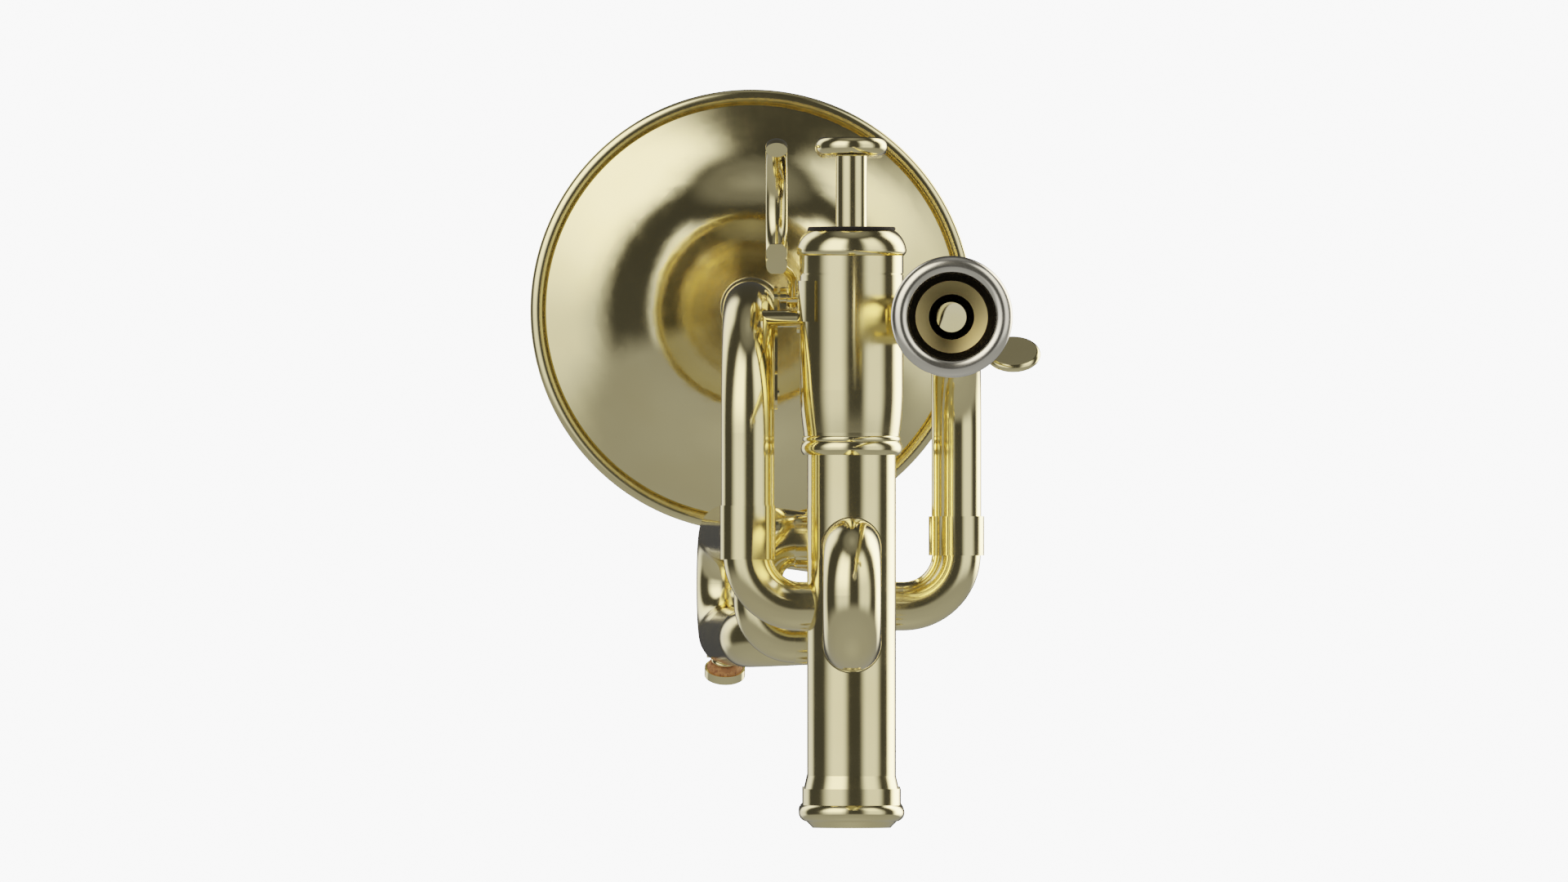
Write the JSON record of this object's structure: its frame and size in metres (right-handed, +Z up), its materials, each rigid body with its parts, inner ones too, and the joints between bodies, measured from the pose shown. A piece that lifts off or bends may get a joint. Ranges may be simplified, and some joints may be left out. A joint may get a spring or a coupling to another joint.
{
  "type": "flugelhorn",
  "caption": "Piston-valve flugelhorn with a wide flaring bell, tuning shank with clamp, pull slides, a slide trigger and a water key.",
  "frame": {"origin": "on the middle valve's axis, in the plane of the bottom caps' flat undersides", "axes": "+Y forward to the bell, +Z up along the valves to the buttons, +X to the player's right"},
  "size_m": [0.1146, 0.4144, 0.1668],
  "materials": {
    "lacquered_brass": "polished, clear lacquered, pale gold",
    "silver_plate": "polished silver plate",
    "piston_monel": "lapped, oiled",
    "spring_steel": "drawn wire",
    "felt": "dense black felt",
    "guide_plastic": "moulded, matt",
    "cork": "cork agglomerate, dry"
  },
  "bodies": {
    "horn": {"valve_casing_1": "lacquered_brass", "valve_casing_2": "lacquered_brass", "valve_casing_3": "lacquered_brass", "bottom_cap_1": "lacquered_brass", "bottom_cap_2": "lacquered_brass", "bottom_cap_3": "lacquered_brass", "top_cap_1": "lacquered_brass", "top_cap_2": "lacquered_brass", "top_cap_3": "lacquered_brass", "valve_spring_1": "spring_steel", "valve_spring_2": "spring_steel", "valve_spring_3": "spring_steel", "cap_felts": "felt", "valve_guides": "guide_plastic", "valve_knuckles": "lacquered_brass", "tuning_sleeve": "lacquered_brass", "clamp_collar": "lacquered_brass", "leadpipe": "lacquered_brass", "leadpipe_ferrule": "lacquered_brass", "leadpipe_elbow": "lacquered_brass", "leadpipe_braces": "lacquered_brass", "bell_elbow": "lacquered_brass", "bell_tail_ferrule": "lacquered_brass", "bell_tail": "lacquered_brass", "bell_garland": "lacquered_brass", "bell": "lacquered_brass", "bell_rim_bead": "lacquered_brass", "bell_rim_wire": "lacquered_brass", "bell_brace_rear": "lacquered_brass", "bell_brace_front": "lacquered_brass", "first_slide_sleeves": "lacquered_brass", "second_slide_sleeves": "lacquered_brass", "third_slide_legs": "lacquered_brass", "trigger_saddle": "lacquered_brass"},
    "valve_1": {"piston_1": "piston_monel", "valve_stem_1": "lacquered_brass", "button_1": "lacquered_brass"},
    "valve_2": {"piston_2": "piston_monel", "valve_stem_2": "lacquered_brass", "button_2": "lacquered_brass"},
    "valve_3": {"piston_3": "piston_monel", "valve_stem_3": "lacquered_brass", "button_3": "lacquered_brass"},
    "tuning_slide": {"tuning_shank": "lacquered_brass"},
    "mouthpiece": {"mouthpiece": "silver_plate"},
    "clamp_screw": {"clamp_screw": "lacquered_brass"},
    "first_slide": {"first_slide": "lacquered_brass"},
    "second_slide": {"second_slide": "lacquered_brass"},
    "third_slide": {"third_slide": "lacquered_brass", "trigger_rod": "lacquered_brass", "water_key_nipple": "lacquered_brass", "water_key_saddle": "lacquered_brass", "water_key_pin": "lacquered_brass", "water_key_spring": "spring_steel"},
    "trigger": {"trigger_hook": "lacquered_brass", "trigger_pin": "lacquered_brass", "trigger_crank": "lacquered_brass"},
    "water_key": {"water_key_lever": "lacquered_brass", "water_key_cork": "cork"}
  },
  "joints": [
    {"name": "valve_1_press", "type": "slide", "parent": "horn", "child": "valve_1", "axis": [0, 0, -1], "range_m": [0, 0.015], "stiffness_N_per_m": 160, "springref_m": -0.015, "deforming": ["valve_spring_1"]},
    {"name": "valve_2_press", "type": "slide", "parent": "horn", "child": "valve_2", "axis": [0, 0, -1], "range_m": [0, 0.015], "stiffness_N_per_m": 160, "springref_m": -0.015, "deforming": ["valve_spring_2"]},
    {"name": "valve_3_press", "type": "slide", "parent": "horn", "child": "valve_3", "axis": [0, 0, -1], "range_m": [0, 0.015], "stiffness_N_per_m": 160, "springref_m": -0.015, "deforming": ["valve_spring_3"]},
    {"name": "tuning_slide_pull", "type": "slide", "parent": "horn", "child": "tuning_slide", "axis": [0, -1, 0], "range_m": [0, 0.025]},
    {"name": "mouthpiece_pull", "type": "slide", "parent": "tuning_slide", "child": "mouthpiece", "axis": [0, -1, 0], "range_m": [0, 0.02]},
    {"name": "clamp_screw_turn", "type": "hinge", "parent": "horn", "child": "clamp_screw", "pos_m": [0.0215, -0.126, 0.1052], "axis": [1, 0, 0], "range_deg": [0, 180]},
    {"name": "first_slide_pull", "type": "slide", "parent": "horn", "child": "first_slide", "axis": [0, -1, 0], "range_m": [0, 0.02]},
    {"name": "second_slide_pull", "type": "slide", "parent": "horn", "child": "second_slide", "axis": [-1, 0, 0], "range_m": [0, 0.003]},
    {"name": "trigger_swing", "type": "hinge", "parent": "horn", "child": "trigger", "pos_m": [-0.014, -0.012, 0.1185], "axis": [1, 0, 0], "range_deg": [0, 36], "stiffness_Nm_per_rad": 0.15, "springref_deg": -28.65},
    {"name": "third_slide_push", "type": "slide", "parent": "horn", "child": "third_slide", "axis": [-0.0588, 0.9983, 0], "range_m": [0, 0.014]},
    {"name": "water_key_open", "type": "hinge", "parent": "third_slide", "child": "water_key", "pos_m": [-0.02901, 0.13755, 0.03867], "axis": [0.9983, 0.0588, 0], "range_deg": [0, 16], "stiffness_Nm_per_rad": 0.02, "springref_deg": -34.38}
  ],
  "couplings": [
    {"joint": "trigger_swing", "follows": "third_slide_push", "rad_per_m": 44.892}
  ]
}
